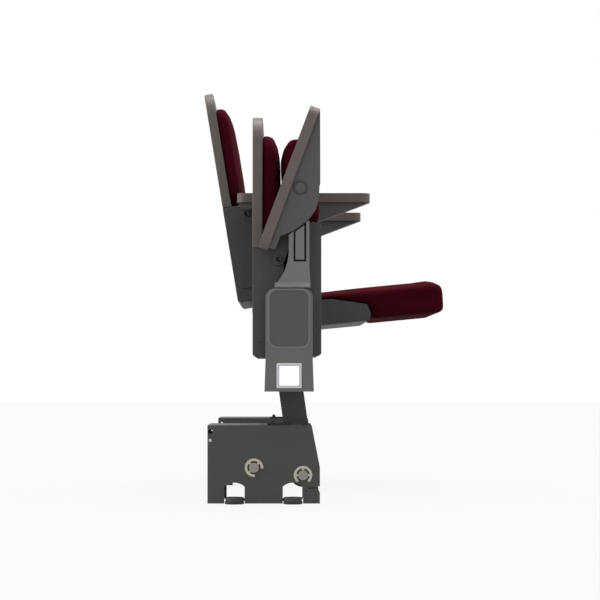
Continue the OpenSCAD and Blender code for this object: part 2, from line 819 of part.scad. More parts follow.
// Seat frame: pivot tube, two rear arms with the studs that move the back, and two straps
module seat_frame() color(grey_dark) difference() {
    union() {
        bar(seat_x, seat_z, tube_d / 2, -half_pitch + link_y + link_t, half_pitch - link_y - link_t);
        both_sides() {
            layer(link_y, link_y + link_t)
                strip(seat_x, seat_z, arm_plate_hub, low_x, low_z, arm_plate_r);
            bar(low_x, low_z, link_pin_d / 2, half_pitch - seat_side + stud_gap, half_pitch - link_y);
            translate([strap_x, strap_y - strap_w / 2, seat_z - strap_foot])
                cube([strap_t, strap_w, strap_h + strap_foot]);
            translate([seat_x, strap_y - strap_w / 2, seat_z - strap_foot])
                cube([strap_x + strap_t - seat_x, strap_w, 2 * strap_foot]);
        }
    }
    bar(seat_x, seat_z, seat_pin_d / 2 + run_fit, -half_pitch, half_pitch);
}

// Seat cover: tray under the cushion, open towards it
module cover_outline() {
    x0 = seat_face_x + cushion_thin + seat_gap;
    polygon([[x0, seat_z - seat_tail + tail_chamfer], [x0 + tail_chamfer, seat_z - seat_tail],
        [seat_under_x - cover_chamfer, seat_z - seat_tail],
        [seat_under_x, seat_z - seat_tail + cover_chamfer_h],
        [seat_under_x, seat_z + step_z - cover_nose_r / 2],
        [seat_under_x - cover_nose_r / 3, seat_z + step_z + cover_nose_r / 3],
        [seat_face_x + nose_t, seat_z + nose_z], [seat_face_x + step_t + seat_gap, seat_z + step_z],
        [x0, seat_z + thin_z]]);
}

module cover_hollow() {
    x0 = seat_face_x + cushion_thin + seat_gap;
    x1 = seat_under_x - cover_wall;
    polygon([[x0 - cover_chamfer, seat_z - seat_tail + cover_wall],
        [seat_under_x - cover_chamfer, seat_z - seat_tail + cover_wall],
        [x1, seat_z - seat_tail + cover_chamfer_h + cover_wall / 2],
        [x1, seat_z + step_z - cover_wall - cover_nose_r / 3],
        [seat_face_x + nose_t, seat_z + nose_z - cover_wall],
        [seat_face_x + step_t + cover_wall, seat_z + step_z - cover_wall / 2],
        [seat_face_x + step_t - cover_nose_r, seat_z + step_z - cover_wall / 2],
        [x0 - cover_chamfer, seat_z + thin_z - cover_nose_r]]);
}

module seat_cover() color(grey_cover) difference() {
    slab(-seat_pad_half, seat_pad_half) cover_outline();
    slab(-seat_pad_half + cover_wall, seat_pad_half - cover_wall) cover_hollow();
    bar(seat_x, seat_z, tube_d / 2 + seat_gap, -seat_half - over, seat_half + over);
}

// Seat cushion: closed form drawn along the row from one profile. Each point is given as
// shares of the cushion's length and thickness, on its face and on its underside.
face_shares = [[0, 0.04], [0.008, 0.01], [0.028, 0], [0.19, 0], [0.32, 0], [0.445, 0], [0.57, 0],
    [0.70, 0], [0.826, 0], [0.95, 0], [0.982, 0.03], [0.996, 0.12], [1, 0.3]];
crown_shares = [0, 0, 0, 0.35, 0.7, 0.9, 1, 1, 0.95, 0.6, 0.3, 0.1, 0];
round_shares = [0, 0.08, 0.3, 0.62, 1];
across_shares = [-0.88, -0.74, -0.56, -0.37, -0.18, 0, 0.18, 0.37, 0.56, 0.74, 0.88];

function cushion_len() = cushion_tail + seat_front;
function face_point(i) = [seat_face_x + face_shares[i][1] * seat_t,
    seat_z - cushion_tail + face_shares[i][0] * cushion_len()];
function under_points() = [
    [seat_face_x + cushion_thin - seat_gap * 4, seat_z - cushion_tail],
    [seat_face_x + cushion_thin - seat_gap, seat_z - cushion_tail + round_r / 4],
    [seat_face_x + cushion_thin, seat_z - cushion_tail + round_r],
    [seat_face_x + cushion_thin, seat_z],
    [seat_face_x + cushion_thin, seat_z + thin_z],
    [seat_face_x + (cushion_thin + step_t) / 2, seat_z + (thin_z + step_z) / 2],
    [seat_face_x + step_t, seat_z + step_z + seat_gap],
    [seat_face_x + nose_t, seat_z + nose_z + over],
    [seat_under_x - cushion_set - cover_nose_r / 2, seat_z + nose_z + over],
    [seat_under_x - cushion_set, seat_z + nose_z + over + cover_nose_r],
    [seat_under_x - cushion_set, seat_z + (nose_z + seat_front) / 2],
    [seat_under_x - cushion_set, seat_z + seat_front - round_r],
    [seat_under_x - cushion_set - cover_nose_r, seat_z + seat_front - round_r / 5]];
function profile() = concat([for (i = [0 : len(face_shares) - 1]) face_point(i)],
    [for (i = [len(face_shares) - 1 : -1 : 0]) under_points()[i]]);
function inward(p, i) = let (n = len(p), a = p[(i + n - 1) % n], b = p[(i + 1) % n],
    d = (b - a) / norm(b - a)) [d[1], -d[0]];
function stations() = concat(
    [for (k = [0 : 4])
        [-seat_pad_half + round_r * round_shares[k], round_r * pow(1 - round_shares[k], 2)]],
    [for (s = across_shares) [s * seat_pad_half, 0]],
    [for (k = [4 : -1 : 0])
        [seat_pad_half - round_r * round_shares[k], round_r * pow(1 - round_shares[k], 2)]]);
function crown_at(i, y) = i < len(crown_shares)
    ? seat_crown * crown_shares[i] * (1 - pow(y / seat_pad_half, 2)) : 0;
function cushion_ring(y, inset) = let (p = profile()) [for (i = [0 : len(p) - 1])
    let (q = p[i] + inward(p, i) * min(inset, cushion_thin / 3)) [q[0] - crown_at(i, y), y, q[1]]];

module seat_cushion() color(burgundy) {
    n = 2 * len(face_shares);
    st = stations();
    m = len(st);
    half = len(face_shares);
    side_faces = [for (j = [0 : m - 2], i = [0 : n - 1]) let (a = j * n + i, b = j * n + (i + 1) % n)
        each [[a, b, b + n], [a, b + n, a + n]]];
    cap_faces = [for (i = [0 : half - 2]) let (a = i, b = i + 1, c = n - 2 - i, d = n - 1 - i)
        each [[a, c, b], [a, d, c]]];
    end_faces = [for (f = cap_faces) [for (v = [2, 1, 0]) f[v] + (m - 1) * n]];
    polyhedron([for (s = st) each cushion_ring(s[0], s[1])], concat(side_faces, cap_faces, end_faces));
}

// Back: brackets on both sides, lower cover, shell, cushion and a thin lumbar pad
module back_brackets() color(grey_dark) both_sides() difference() {
    layer(bracket_y, seat_side) difference() {
        union() {
            waisted(pin_x, pin_z, link_r, low_x, low_z, arm_plate_r + slot_play, bracket_neck);
            translate([back_rear_x + bracket_in, low_z + bracket_low])
                square([pin_x - back_rear_x - bracket_in, bracket_h]);
        }
        waisted(low_x, low_z, link_pin_d / 2 + slot_play + slot_relief,
            low_x - slot_travel * sin(slot_lean), low_z + slot_travel * cos(slot_lean),
            link_pin_d / 2 + slot_play + slot_relief, link_pin_d / 2 + slot_play);
    }
    bar(pin_x, pin_z, link_pin_d / 2 + run_fit, seat_half - over, half_pitch);
}

module back_bolts() color(zinc) both_sides() {
    bar(pin_x, pin_z, link_pin_d / 2, seat_half + seat_gap, half_pitch - link_y + boss_gap);
    bar(pin_x, pin_z, pin_head_r, half_pitch - link_y + boss_gap, half_pitch - link_y + boss_gap + link_play);
}

module back_cover() color(grey_dark) difference() {
    front_x = back_front_x - lumbar_t;
    low = back_split_z - back_low_h;
    slab(-seat_half, seat_half) polygon([[back_rear_x, low + low_chamfer], [back_rear_x + low_chamfer, low],
        [front_x, low], [front_x, back_split_z], [back_rear_x, back_split_z]]);
    translate([back_rear_x + low_wall, -seat_half + low_wall, low + low_wall])
        cube([back_d, 2 * (seat_half - low_wall), back_low_h]);
}

module back_shell() color(taupe) {
    slab_x(back_rear_x, back_rear_x + shell_t)
        top_round(-seat_half, back_split_z + seat_gap, 2 * seat_half, back_h - seat_gap, shell_r);
    translate([back_rear_x + low_wall + seat_gap, -seat_half + low_wall + seat_gap, back_split_z - skirt_h])
        cube([skirt_t, 2 * (seat_half - low_wall - seat_gap), skirt_h + seat_gap]);
}

// Pad on the front of the back: rings of a rounded rectangle with drawn in sides. They go up a
// straight edge, round over by the given radius and rise to a crown. Crown rings are given as
// shares of the crown and of the outline.
ring_points = 56;
corner_power = 0.28;
arc_steps = 4;
arc_turn = 90;
crown_ring_shares = [[0.35, 0.85], [0.66, 0.66], [0.87, 0.45], [0.97, 0.22]];

function signed_power(v, p) = sign(v) * pow(abs(v), p);
function pad_ring(half_w, half_h) = [for (i = [0 : ring_points - 1]) let (a = 360 * i / ring_points,
    u = signed_power(cos(a), corner_power), v = signed_power(sin(a), corner_power))
    [u * half_w - sign(u) * draw_in * (1 - v * v) * half_w / seat_half,
        v * half_h - sign(v) * draw_in * (1 - u * u) * half_w / seat_half]];

// Rings of a pad, each as its height, half width and half length
function pad_levels(half_w, half_h, edge_t, round, crown) = concat(
    [[0, half_w - cushion_tuck, half_h - cushion_tuck], [cushion_tuck * edge_t / cushion_t, half_w, half_h]],
    [for (k = [0 : arc_steps]) let (a = arc_turn * k / arc_steps, inset = round * (1 - cos(a)))
        [edge_t - round * (1 - sin(a)), half_w - inset, half_h - inset]],
    [for (c = crown_ring_shares) [edge_t + c[0] * crown, (half_w - round) * c[1], (half_h - round) * c[1]]]);

module pad(x0, z0, half_w, h, edge_t, round, crown) color(burgundy) {
    mid_z = z0 + h / 2;
    levels = pad_levels(half_w, h / 2, edge_t, round, crown);
    rings = len(levels);
    points = concat([for (l = levels) for (p = pad_ring(l[1], l[2])) [x0 + l[0], p[0], mid_z + p[1]]],
        [[x0, 0, mid_z], [x0 + edge_t + crown, 0, mid_z]]);
    last = rings * ring_points;
    wall = [for (j = [0 : rings - 2], i = [0 : ring_points - 1])
        let (a = j * ring_points + i, b = j * ring_points + (i + 1) % ring_points)
        each [[a, b + ring_points, b], [a, a + ring_points, b + ring_points]]];
    floor_fan = [for (i = [0 : ring_points - 1]) [last, i, (i + 1) % ring_points]];
    top_fan = [for (i = [0 : ring_points - 1]) let (a = (rings - 1) * ring_points)
        [last + 1, a + (i + 1) % ring_points, a + i]];
    polyhedron(points, concat(wall, floor_fan, top_fan));
}

module back_cushion() pad(back_rear_x + shell_t + seat_gap, back_split_z + seat_gap,
    seat_half - cushion_side_in, back_h - cushion_top_in - seat_gap, cushion_t, cushion_round, back_crown);

module lumbar_pad() pad(back_front_x - lumbar_t + seat_gap, back_split_z - back_low_h + lumbar_side_in,
    seat_half - lumbar_side_in, back_low_h - lumbar_side_in - cushion_side_in,
    lumbar_edge_t, lumbar_edge_t / 2, lumbar_crown);

// Link: flat bar between the hanger and the back's bracket
module links() color(grey_dark) both_sides() difference() {
    layer(link_y, link_y + link_t) strip(link_x, link_z, link_r, pin_x, pin_z, link_r);
    for (p = [[link_x, link_z], [pin_x, pin_z]])
        bar(p[0], p[1], link_pin_d / 2 + run_fit, seat_half, half_pitch);
}

// Armrest: housing that straddles the tongue, with a board on top. The lower edge of the housing
// is given as shares of its reach to the front and of its drop below the pivot.
house_shares = [[0.142, -0.778], [0.122, -0.771], [0.023, -0.89], [-0.064, -0.981], [-0.168, -1],
    [-0.273, -0.902], [-0.381, -0.755], [-0.485, -0.509], [-0.573, -0.238], [-0.645, 0.079], [-0.8, 0.09],
    [-0.825, 0.13]];

module arm_housing() color(grey_panel) difference() {
    slab(-house_half, house_half) polygon(concat([[house_front, arm_under]],
        [for (p = house_shares) [p[0] * house_front, p[1] * house_drop]],
        [[-arm_rear + house_wall, arm_under]]));
    translate([-arm_rear - over, -house_half + house_wall, -house_drop - over])
        cube([arm_rear + over + tongue_half + house_wall, 2 * (house_half - house_wall),
            house_drop + over + arm_under - house_web]);
    bar(0, 0, arm_pin_d / 2 + run_fit, -house_half - over, house_half + over);
}

module arm_pad() color(taupe)
    translate([0, 0, arm_under]) linear_extrude(arm_t)
        all_round(-arm_rear, -arm_half, arm_l, arm_w, arm_corner_r);

module lifted_arm() translate([arm_x, -seat_pitch, arm_z]) rotate([0, -arm_lift, 0]) children();
module mid_arm() translate([arm_x, 0, arm_z]) children();
module far_arm() translate([arm_x, seat_pitch, arm_z]) children();

// The far place is open: the seat turned down, the links swung and the back tilted
module seat_open() turned(seat_x, seat_z, seat_turn) children();
module link_open() turned(link_x, link_z, link_turn) children();
module back_open() {
    swing = link_lean + link_turn;
    translate([link_l * (sin(link_lean) - sin(swing)), 0, link_l * (cos(link_lean) - cos(swing))])
        turned(pin_x, pin_z, -back_tilt) children();
}

near_base() mirror([0, 1, 0]) base_pan();  // base_pan_near
far_base() base_pan();  // base_pan_far
near_base() base_cover();  // base_cover_near
far_base() base_cover();  // base_cover_far
near_base() base_shaft(fold_x, fold_z);  // fold_shaft_near
far_base() base_shaft(fold_x, fold_z);  // fold_shaft_far
near_base() base_shaft(lock_x, lock_z);  // lock_shaft_near
far_base() base_shaft(lock_x, lock_z);  // lock_shaft_far
shaft_clips();
deck_pads();
deck_washers();
cover_screws();
near_base() lock_hook();  // lock_hook_near
far_base() lock_hook();  // lock_hook_far
near_base() leg();  // leg_near
far_base() leg();  // leg_far
leg_bushes();
beam();
translate([0, -seat_pitch, 0]) end_upright();  // upright_near
upright();  // upright_mid
mirror([0, 1, 0]) translate([0, -seat_pitch, 0]) end_upright();  // upright_far
upright_bolts();
translate([0, -seat_pitch, 0]) end_panel();  // panel_near
mid_panel();  // panel_mid
mirror([0, 1, 0]) translate([0, -seat_pitch, 0]) end_panel();  // panel_far
panel_plates();
neck_inserts();
light_frames();
light_lenses();
link_hangers();
link_pins();
seat_pins();
arm_pins();
near_place() seat_frame();  // seat_frame_near
near_place() seat_cover();  // seat_cover_near
near_place() seat_cushion();  // seat_cushion_near
far_place() seat_open() seat_frame();  // seat_frame_far
far_place() seat_open() seat_cover();  // seat_cover_far
far_place() seat_open() seat_cushion();  // seat_cushion_far
near_place() links();  // links_near
far_place() link_open() links();  // links_far
near_place() back_brackets();  // back_brackets_near
near_place() back_bolts();  // back_bolts_near
near_place() back_cover();  // back_cover_near
near_place() back_shell();  // back_shell_near
near_place() back_cushion();  // back_cushion_near
near_place() lumbar_pad();  // lumbar_pad_near
far_place() back_open() back_brackets();  // back_brackets_far
far_place() back_open() back_bolts();  // back_bolts_far
far_place() back_open() back_cover();  // back_cover_far
far_place() back_open() back_shell();  // back_shell_far
far_place() back_open() back_cushion();  // back_cushion_far
far_place() back_open() lumbar_pad();  // lumbar_pad_far
lifted_arm() arm_housing();  // arm_housing_near
lifted_arm() arm_pad();  // arm_pad_near
mid_arm() arm_housing();  // arm_housing_mid
mid_arm() arm_pad();  // arm_pad_mid
far_arm() arm_housing();  // arm_housing_far
far_arm() arm_pad();  // arm_pad_far
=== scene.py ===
import math

import bmesh
import bpy
from mathutils import Matrix, Vector


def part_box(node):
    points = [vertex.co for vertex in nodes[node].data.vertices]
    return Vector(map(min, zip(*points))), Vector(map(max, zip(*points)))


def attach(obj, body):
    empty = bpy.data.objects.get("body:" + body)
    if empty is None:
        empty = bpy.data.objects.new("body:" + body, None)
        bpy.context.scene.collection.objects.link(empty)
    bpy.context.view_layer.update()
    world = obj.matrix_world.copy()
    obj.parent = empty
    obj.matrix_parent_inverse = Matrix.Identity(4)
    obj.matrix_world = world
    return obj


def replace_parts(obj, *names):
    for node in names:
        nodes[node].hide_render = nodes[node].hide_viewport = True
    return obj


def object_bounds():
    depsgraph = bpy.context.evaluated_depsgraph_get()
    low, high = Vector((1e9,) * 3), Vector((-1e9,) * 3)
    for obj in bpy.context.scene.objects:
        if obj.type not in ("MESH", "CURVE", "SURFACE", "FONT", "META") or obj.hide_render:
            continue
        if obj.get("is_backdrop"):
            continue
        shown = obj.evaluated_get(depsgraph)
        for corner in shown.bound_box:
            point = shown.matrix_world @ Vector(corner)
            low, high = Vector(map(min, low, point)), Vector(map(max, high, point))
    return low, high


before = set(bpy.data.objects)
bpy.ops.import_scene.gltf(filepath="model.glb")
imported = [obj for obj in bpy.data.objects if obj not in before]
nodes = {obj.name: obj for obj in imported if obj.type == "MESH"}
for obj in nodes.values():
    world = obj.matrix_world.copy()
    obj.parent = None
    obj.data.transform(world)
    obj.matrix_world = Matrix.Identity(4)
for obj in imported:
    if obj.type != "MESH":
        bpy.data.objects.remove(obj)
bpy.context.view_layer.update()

scene = bpy.context.scene
scene.view_settings.view_transform = "Standard"


# View and light. The row is seen from its near end, along the beam, by a level camera with a long
# lens. The photograph's eye point lies low and left of the middle, which the shift takes up.
LENS_MM = 124.0
SENSOR_MM = 36.0
EYE = (0.040, -4.605, 0.2604)
EYE_PIXEL = (283.5, 375.0)
PICTURE_PX = 600.0

eye_data = bpy.data.cameras.new("eye")
eye_data.lens = LENS_MM
eye_data.sensor_width = SENSOR_MM
eye_data.shift_x = (PICTURE_PX / 2 - EYE_PIXEL[0]) / PICTURE_PX
eye_data.shift_y = (EYE_PIXEL[1] - PICTURE_PX / 2) / PICTURE_PX
eye_data.clip_start, eye_data.clip_end = 0.05, 60.0
eye = bpy.data.objects.new("eye", eye_data)
eye.location = EYE
eye.rotation_euler = (math.radians(90), 0, 0)
scene.collection.objects.link(eye)
scene.camera = eye

# Name, strength, spread and turn of each lamp: one overhead, one low from the rear of the seats.
LAMPS = (("top_light", 3.0, 30.0, (-7.0, 6.0)), ("rear_light", 1.0, 20.0, (6.0, -78.0)))
SKY_LIGHT = 1.0

for name, strength, spread, turn in LAMPS:
    lamp_data = bpy.data.lights.new(name, "SUN")
    lamp_data.energy = strength
    lamp_data.angle = math.radians(spread)
    lamp = bpy.data.objects.new(name, lamp_data)
    lamp.rotation_euler = tuple(math.radians(a) for a in turn) + (0.0,)
    lamp.location = (0, 0, 3)
    scene.collection.objects.link(lamp)


def seen_directly(tree):
    """1 where the camera sees a surface itself, in a mirror or through glass."""
    path = tree.nodes.new("ShaderNodeLightPath")
    glossy = tree.nodes.new("ShaderNodeMath")
    glossy.operation = "MAXIMUM"
    through = tree.nodes.new("ShaderNodeMath")
    through.operation = "MAXIMUM"
    tree.links.new(path.outputs["Is Camera Ray"], glossy.inputs[0])
    tree.links.new(path.outputs["Is Glossy Ray"], glossy.inputs[1])
    tree.links.new(glossy.outputs[0], through.inputs[0])
    tree.links.new(path.outputs["Is Transmission Ray"], through.inputs[1])
    return through.outputs[0]


world = bpy.data.worlds.new("studio")
scene.world = world
world.use_nodes = True
sky = world.node_tree
sky.nodes.clear()
sky_seen = sky.nodes.new("ShaderNodeBackground")
sky_seen.inputs["Color"].default_value = (1, 1, 1, 1)
sky_seen.inputs["Strength"].default_value = 1.0
sky_lit = sky.nodes.new("ShaderNodeBackground")
sky_lit.inputs["Color"].default_value = (1.0, 0.995, 0.985, 1)
sky_lit.inputs["Strength"].default_value = SKY_LIGHT
sky_mix = sky.nodes.new("ShaderNodeMixShader")
sky_out = sky.nodes.new("ShaderNodeOutputWorld")
sky.links.new(seen_directly(sky), sky_mix.inputs[0])
sky.links.new(sky_lit.outputs[0], sky_mix.inputs[1])
sky.links.new(sky_seen.outputs[0], sky_mix.inputs[2])
sky.links.new(sky_mix.outputs[0], sky_out.inputs["Surface"])


# Floor. A plain pale studio floor under the deck pads, which is nearly white and keeps a faint
# shadow of the row.
FLOOR_SIZE = 30.0
FLOOR_TONE = 0.3
FLOOR_WHITE_SHARE = 0.9

floor_form = bmesh.new()
bmesh.ops.create_grid(floor_form, x_segments=1, y_segments=1, size=FLOOR_SIZE / 2)
bmesh.ops.translate(floor_form, verts=floor_form.verts, vec=(0, 0, -0.0005))
floor_mesh = bpy.data.meshes.new("floor")
floor_form.to_mesh(floor_mesh)
floor_form.free()
floor = bpy.data.objects.new("floor", floor_mesh)
scene.collection.objects.link(floor)
floor_paint = bpy.data.materials.new("floor_paint")
floor_paint.use_nodes = True
tree = floor_paint.node_tree
tree.nodes.clear()
floor_matt = tree.nodes.new("ShaderNodeBsdfDiffuse")
floor_matt.inputs["Color"].default_value = (FLOOR_TONE, FLOOR_TONE, FLOOR_TONE, 1)
floor_white = tree.nodes.new("ShaderNodeEmission")
floor_white.inputs["Color"].default_value = (1, 1, 1, 1)
floor_white.inputs["Strength"].default_value = 1.0
floor_share = tree.nodes.new("ShaderNodeMath")
floor_share.operation = "MULTIPLY"
floor_share.inputs[1].default_value = FLOOR_WHITE_SHARE
floor_mix = tree.nodes.new("ShaderNodeMixShader")
floor_out = tree.nodes.new("ShaderNodeOutputMaterial")
tree.links.new(seen_directly(tree), floor_share.inputs[0])
tree.links.new(floor_share.outputs[0], floor_mix.inputs[0])
tree.links.new(floor_matt.outputs[0], floor_mix.inputs[1])
tree.links.new(floor_white.outputs[0], floor_mix.inputs[2])
tree.links.new(floor_mix.outputs[0], floor_out.inputs["Surface"])
floor.data.materials.append(floor_paint)
floor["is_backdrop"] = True


# Bases. Each is a folded steel pan with a bent cover sheet, powder coated dark grey. The coat has
# a fine orange peel, a slight drift of tone, and softly rounded folds and cut edges.
def linear(r, g, b):
    """A colour given as it shows on a screen, 0 to 255, in the shader's scale."""
    return tuple((c / 255 / 12.92) if c / 255 <= 0.04045 else ((c / 255 + 0.055) / 1.055) ** 2.4
                 for c in (r, g, b)) + (1.0,)


def socket(group, name, way, kind, value=None):
    made = group.interface.new_socket(name=name, in_out=way, socket_type=kind)
    if value is not None:
        made.default_value = value
    return made


def maths(tree, operation, a, b=None):
    node = tree.nodes.new("ShaderNodeMath")
    node.operation = operation
    for place, value in ((0, a), (1, b)):
        if value is None:
            continue
        if isinstance(value, (int, float)):
            node.inputs[place].default_value = value
        else:
            tree.links.new(value, node.inputs[place])
    return node.outputs[0]


def noise(tree, vector, scale, detail=3.0, rough=0.5):
    node = tree.nodes.new("ShaderNodeTexNoise")
    node.inputs["Scale"].default_value = scale
    node.inputs["Detail"].default_value = detail
    node.inputs["Roughness"].default_value = rough
    tree.links.new(vector, node.inputs["Vector"])
    return node.outputs["Fac"]


# Tone and grain shared by coats and plastics: a height for the bump, the colour with its drift
# and a roughness that varies with the grain.
surface = bpy.data.node_groups.new("surface_grain", "ShaderNodeTree")
socket(surface, "Vector", "INPUT", "NodeSocketVector")
socket(surface, "Color", "INPUT", "NodeSocketColor", (0.1, 0.1, 0.1, 1))
socket(surface, "Grain Scale", "INPUT", "NodeSocketFloat", 900.0)
socket(surface, "Drift", "INPUT", "NodeSocketFloat", 0.1)
socket(surface, "Roughness", "INPUT", "NodeSocketFloat", 0.5)
socket(surface, "Color", "OUTPUT", "NodeSocketColor")
socket(surface, "Roughness", "OUTPUT", "NodeSocketFloat")
socket(surface, "Height", "OUTPUT", "NodeSocketFloat")
group_in = surface.nodes.new("NodeGroupInput")
group_out = surface.nodes.new("NodeGroupOutput")
grain = surface.nodes.new("ShaderNodeTexNoise")
grain.inputs["Detail"].default_value = 2.0
surface.links.new(group_in.outputs["Vector"], grain.inputs["Vector"])
surface.links.new(group_in.outputs["Grain Scale"], grain.inputs["Scale"])
pores = surface.nodes.new("ShaderNodeTexVoronoi")
pores.feature = "SMOOTH_F1"
surface.links.new(group_in.outputs["Vector"], pores.inputs["Vector"])
surface.links.new(group_in.outputs["Grain Scale"], pores.inputs["Scale"])
broad = noise(surface, group_in.outputs["Vector"], 7.0, 4.0, 0.55)
fine = noise(surface, group_in.outputs["Vector"], 60.0, 3.0, 0.6)
drift = maths(surface, "ADD", maths(surface, "MULTIPLY", broad, 0.7),
              maths(surface, "MULTIPLY", fine, 0.3))
drift = maths(surface, "SUBTRACT", drift, 0.5)
drift = maths(surface, "MULTIPLY", drift, group_in.outputs["Drift"])
tone = maths(surface, "ADD", drift, 1.0)
scaled = surface.nodes.new("ShaderNodeVectorMath")
scaled.operation = "SCALE"
surface.links.new(group_in.outputs["Color"], scaled.inputs[0])
surface.links.new(tone, scaled.inputs["Scale"])
surface.links.new(scaled.outputs[0], group_out.inputs["Color"])
roughened = maths(surface, "SUBTRACT", grain.outputs["Fac"], 0.5)
roughened = maths(surface, "MULTIPLY", roughened, 0.16)
roughened = maths(surface, "ADD", roughened, group_in.outputs["Roughness"])
surface.links.new(roughened, group_out.inputs["Roughness"])
lumps = maths(surface, "ADD", grain.outputs["Fac"],
              maths(surface, "MULTIPLY", pores.outputs["Distance"], 0.5))
surface.links.new(lumps, group_out.inputs["Height"])


def finish(name, colour, roughness, grain_scale=900.0, bump=0.12, drift=0.12, metallic=0.0, level=0.4):
    """A coated, moulded or plated surface, from the shared grain."""
    material = bpy.data.materials.new(name)
    material.use_nodes = True
    tree = material.node_tree
    shader = tree.nodes["Principled BSDF"]
    place = tree.nodes.new("ShaderNodeTexCoord")
    grained = tree.nodes.new("ShaderNodeGroup")
    grained.node_tree = surface
    grained.inputs["Color"].default_value = colour
    grained.inputs["Grain Scale"].default_value = grain_scale
    grained.inputs["Drift"].default_value = drift
    grained.inputs["Roughness"].default_value = roughness
    bumped = tree.nodes.new("ShaderNodeBump")
    bumped.inputs["Strength"].default_value = bump
    bumped.inputs["Distance"].default_value = 0.0002
    tree.links.new(place.outputs["Object"], grained.inputs["Vector"])
    tree.links.new(grained.outputs["Color"], shader.inputs["Base Color"])
    tree.links.new(grained.outputs["Roughness"], shader.inputs["Roughness"])
    tree.links.new(grained.outputs["Height"], bumped.inputs["Height"])
    tree.links.new(bumped.outputs["Normal"], shader.inputs["Normal"])
    shader.inputs["Metallic"].default_value = metallic
    shader.inputs["Specular IOR Level"].default_value = level
    return material


def dress(material, *names):
    """Gives CAD nodes their finish."""
    for name in names:
        mesh = nodes[name].data
        mesh.materials.clear()
        mesh.materials.append(material)


def shown(name, form, body, slot, *materials):
    """Turns a finished form into a smooth-shaded piece that rides on a CAD body."""
    bmesh.ops.recalc_face_normals(form, faces=form.faces)
    for face in form.faces:
        face.smooth = True
    mesh = bpy.data.meshes.new(name)
    form.to_mesh(mesh)
    form.free()
    for material in materials:
        mesh.materials.append(material)
    piece = bpy.data.objects.new(name, mesh)
    scene.collection.objects.link(piece)
    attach(piece, body)
    return piece


def eased(name, node, body, width, slot, material, segments=2, angle=32.0, also=None, where=None,
          rounder=None):
    """A copy of a CAD solid, its doubles merged and its sharp edges rounded, that stands for it.
    The material `also` is for the faces inside the box `where`, or without one for the edges.
    `rounder` is a wider rounding and a test of the points that get it first."""
    form = bmesh.new()
    form.from_mesh(nodes[node].data)
    bmesh.ops.remove_doubles(form, verts=form.verts, dist=2e-5)
    bmesh.ops.dissolve_limit(form, angle_limit=math.radians(0.6), verts=form.verts, edges=form.edges)
    if rounder:
        first = [e for e in form.edges if e.is_manifold and e.calc_face_angle(0.0) > math.radians(angle)
                 and all(rounder[1](v.co) for v in e.verts)]
        bmesh.ops.bevel(form, geom=first, offset=rounder[0], offset_type="OFFSET", segments=4,
                        profile=0.5, affect="EDGES", clamp_overlap=True, material=-1)
    sharp = [e for e in form.edges if e.is_manifold and e.calc_face_angle(0.0) > math.radians(angle)]
    bmesh.ops.bevel(form, geom=sharp, offset=width, offset_type="OFFSET", segments=segments,
                    profile=0.5, affect="EDGES", clamp_overlap=True,
                    material=1 if also and not where else -1)
    if where:
        low, high = where
        for face in form.faces:
            middle = face.calc_center_median()
            if all(low[k] <= middle[k] <= high[k] for k in range(3)):
                face.material_index = 1
    piece = shown(name, form, body, slot, material, *([also] if also else []))
    weighted = piece.modifiers.new("weighted", "WEIGHTED_NORMAL")
    weighted.keep_sharp = False
    weighted.weight = 80
    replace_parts(piece, node)
    return piece


base_coat = finish("base_coat", linear(64, 64, 62), 0.5, 1100.0, 0.15)
for side in ("near", "far"):
    eased("base_box_" + side, "base_pan_" + side, "bases", 0.0007, "base_paint", base_coat)
    eased("base_lid_" + side, "base_cover_" + side, "bases", 0.0009, "base_paint", base_coat, 3)


# Turned pieces: shafts, rings, screws, bolts and feet. The feet and bolts are spun about their own axis,
# and the bolt heads have a six-sided recess. Plating is yellowish with a faint grain.
def spun(section, steps=24, ring=False, six=None):
    """Spins (radius, height) points about Z. The points of index in `six` lie on a hexagon."""
    form = bmesh.new()
    start = math.pi / steps
    row = [form.verts.new((r * math.cos(start), r * math.sin(start), h)) for r, h in section]
    edges = [form.edges.new(pair) for pair in zip(row, row[1:])]
    if ring:
        edges.append(form.edges.new((row[-1], row[0])))
    bmesh.ops.spin(form, geom=row + edges, cent=(0, 0, 0), axis=(0, 0, 1), dvec=(0, 0, 0),
                   angle=math.tau, steps=steps, use_merge=True, use_normal_flip=False)
    if six:
        radius = max(section[k][0] for k in six)
        heights = [section[k][1] for k in six]
        for v in form.verts:
            reach = math.hypot(v.co.x, v.co.y)
            if 0 < reach <= radius * 1.001 and any(abs(v.co.z - h) < 1e-6 for h in heights):
                turn = math.atan2(v.co.y, v.co.x) % (math.pi / 3) - math.pi / 6
                share = math.cos(math.pi / 6) / math.cos(turn)
                v.co.x, v.co.y = v.co.x * share, v.co.y * share
    bmesh.ops.remove_doubles(form, verts=form.verts, dist=1e-6)
    bmesh.ops.dissolve_degenerate(form, edges=form.edges, dist=1e-7)
    return form


def along_row(x, y, z, out):
    """Lays a spun form's axis along the row, its top towards +Y or -Y."""
    return Matrix.Translation((x, y, z)) @ Matrix.Rotation(-out * math.pi / 2, 4, "X")


def joined(parts):
    """One form from several spun ones, each with its place."""
    whole = bmesh.new()
    for part, place in parts:
        bmesh.ops.transform(part, matrix=place, verts=part.verts)
        held = bpy.data.meshes.new("part")
        part.to_mesh(held)
        part.free()
        whole.from_mesh(held)
        bpy.data.meshes.remove(held)
    return whole


